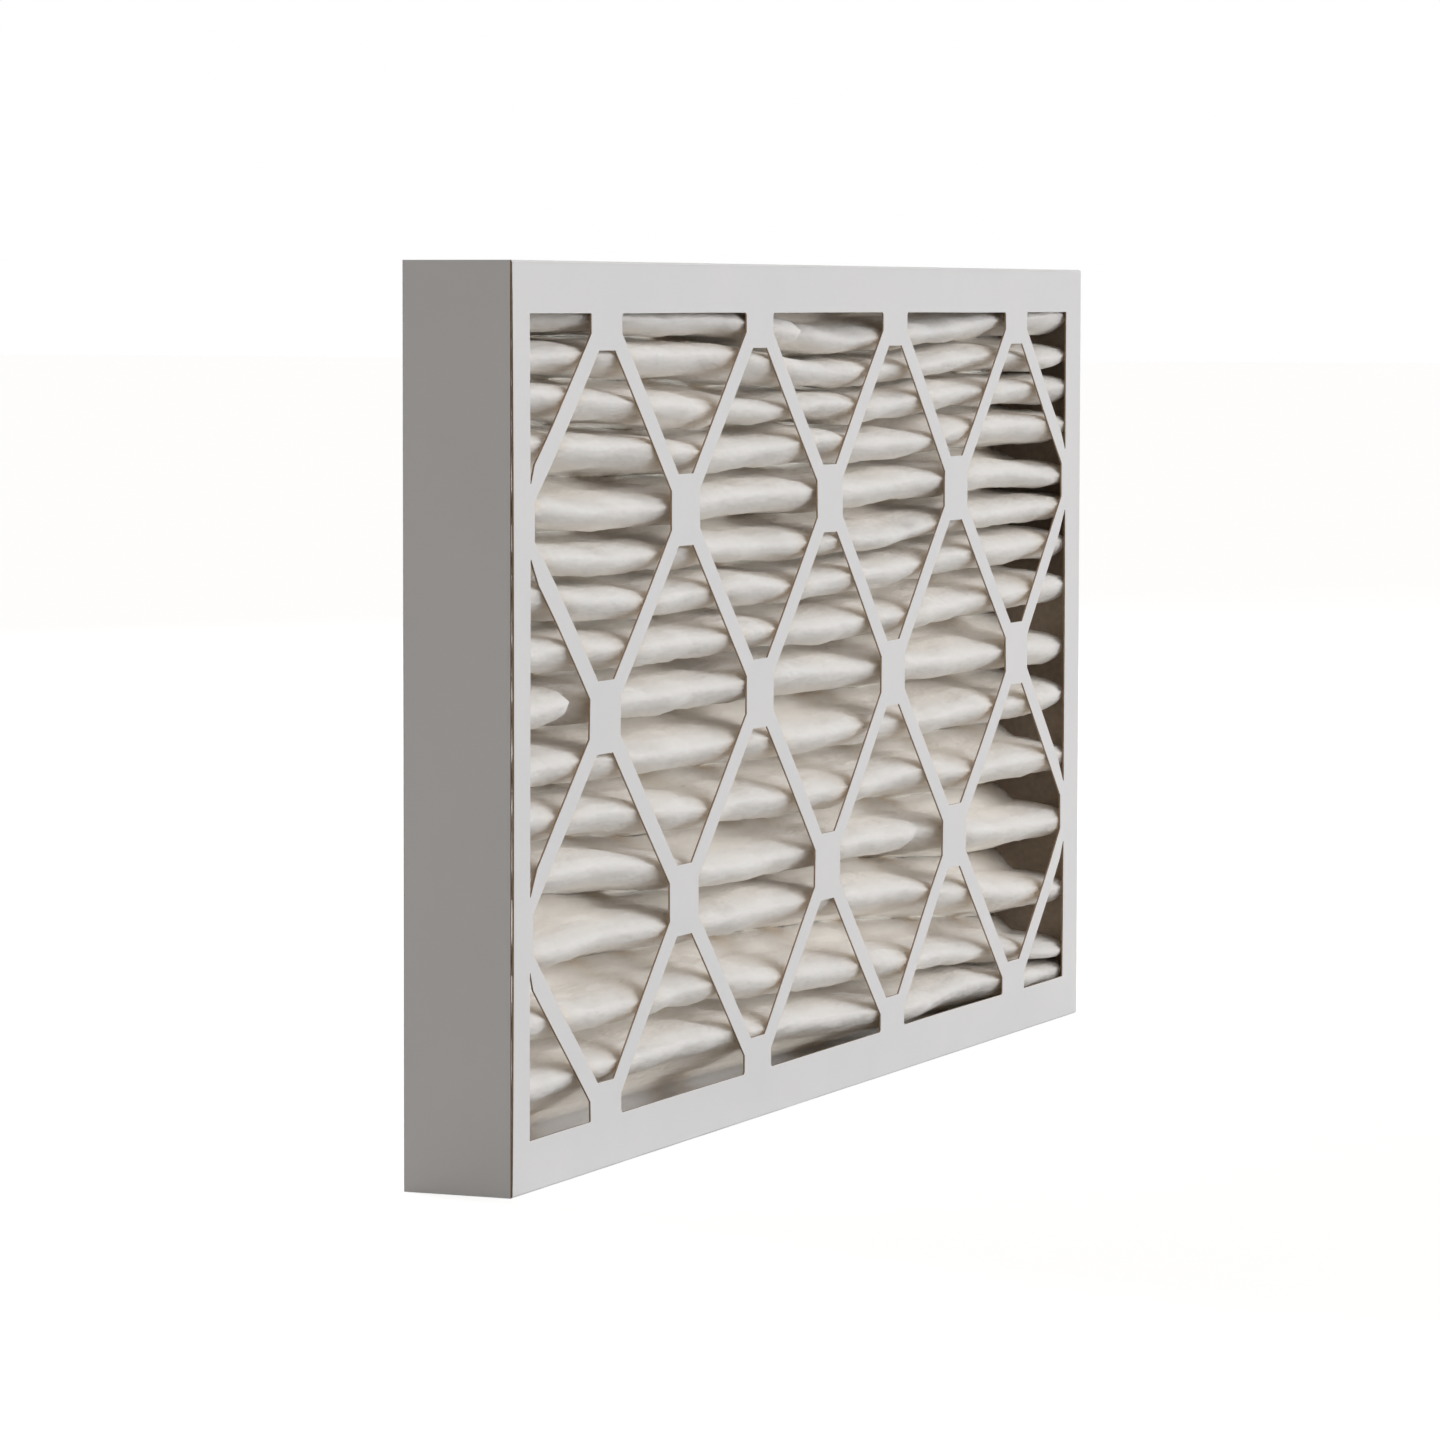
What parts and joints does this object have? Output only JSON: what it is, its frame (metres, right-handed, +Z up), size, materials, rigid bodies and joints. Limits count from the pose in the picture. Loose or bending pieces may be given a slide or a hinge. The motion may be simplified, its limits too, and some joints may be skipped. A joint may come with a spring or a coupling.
{
  "type": "pleated panel air filter",
  "caption": "Flat rectangular air filter: soft pleated media held between two die-cut board trays with a diamond lattice on both faces.",
  "frame": {"origin": "middle of the underside, under the centre of the filter", "axes": "+X along the pleats, +Y the way the air goes (the entering face looks towards -Y), +Z up"},
  "size_m": [0.6224, 0.0444, 0.3429],
  "materials": {
    "coated_board": "matt white coating outside, brown kraft inside and on cut edges",
    "media": "soft fuzzy nonwoven"
  },
  "bodies": {
    "root": {"front_tray": "coated_board", "rear_tray": "coated_board", "pleated_media": "media"}
  },
  "joints": []
}
